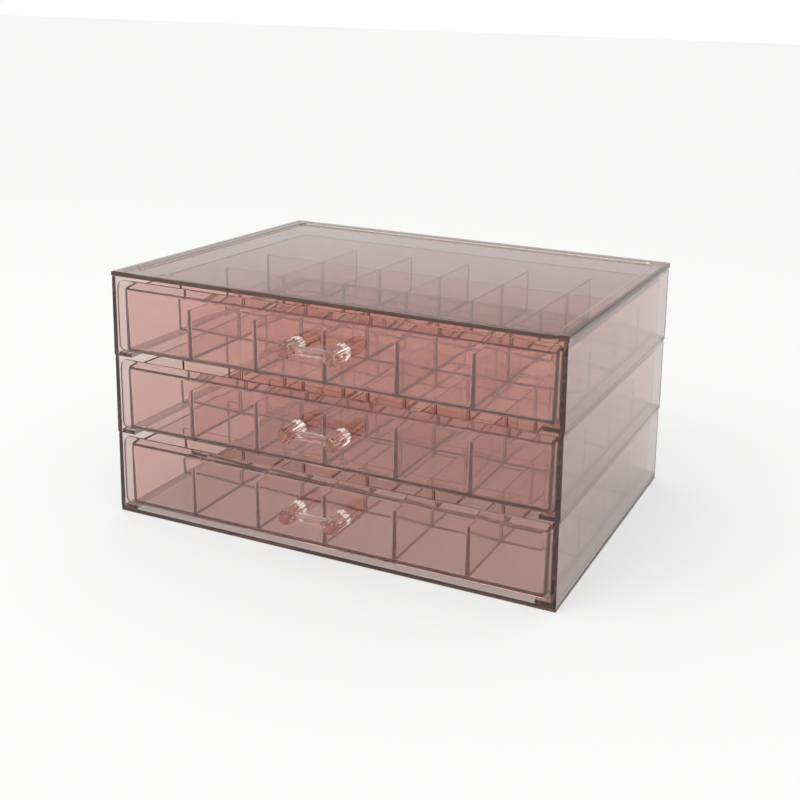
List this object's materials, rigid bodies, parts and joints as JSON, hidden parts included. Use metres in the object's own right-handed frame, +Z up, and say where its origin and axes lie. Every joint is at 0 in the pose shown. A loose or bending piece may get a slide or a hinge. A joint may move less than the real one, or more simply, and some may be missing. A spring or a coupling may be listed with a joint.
{
  "type": "jewelry storage box",
  "caption": "Tinted clear plastic jewelry storage box: stacked case with a recessed cover and sliding drawers, each divided into square pockets, with faceted bar handles.",
  "frame": {"origin": "centre of the underside of the base plate, which stands on the table", "axes": "+X to the right seen from the drawers, +Y from the drawer fronts to the back wall, +Z up"},
  "size_m": [0.24, 0.1861, 0.1274],
  "materials": {
    "case_plastic": "clear injection-moulded plastic with a warm rose-brown tint, high gloss",
    "drawer_plastic": "clear injection-moulded plastic with a rose-brown tint, high gloss",
    "handle_plastic": "clear cut-look plastic, polished facets, light rose tint"
  },
  "bodies": {
    "case": {"base_plate": "case_plastic", "frame_bottom": "case_plastic", "frame_middle": "case_plastic", "frame_top": "case_plastic", "top_cover": "case_plastic"},
    "drawer_bottom": {"tray_bottom": "drawer_plastic", "dividers_bottom": "drawer_plastic", "front_panel_bottom": "drawer_plastic", "handle_post_left_bottom": "handle_plastic", "handle_post_right_bottom": "handle_plastic", "handle_rod_bottom": "handle_plastic"},
    "drawer_middle": {"tray_middle": "drawer_plastic", "dividers_middle": "drawer_plastic", "front_panel_middle": "drawer_plastic", "handle_post_left_middle": "handle_plastic", "handle_post_right_middle": "handle_plastic", "handle_rod_middle": "handle_plastic"},
    "drawer_top": {"tray_top": "drawer_plastic", "dividers_top": "drawer_plastic", "front_panel_top": "drawer_plastic", "handle_post_left_top": "handle_plastic", "handle_post_right_top": "handle_plastic", "handle_rod_top": "handle_plastic"}
  },
  "joints": [
    {"name": "drawer_bottom_slide", "type": "slide", "parent": "case", "child": "drawer_bottom", "axis": [0, -1, 0], "range_m": [0, 0.13]},
    {"name": "drawer_middle_slide", "type": "slide", "parent": "case", "child": "drawer_middle", "axis": [0, -1, 0], "range_m": [0, 0.13]},
    {"name": "drawer_top_slide", "type": "slide", "parent": "case", "child": "drawer_top", "axis": [0, -1, 0], "range_m": [0, 0.13]}
  ]
}
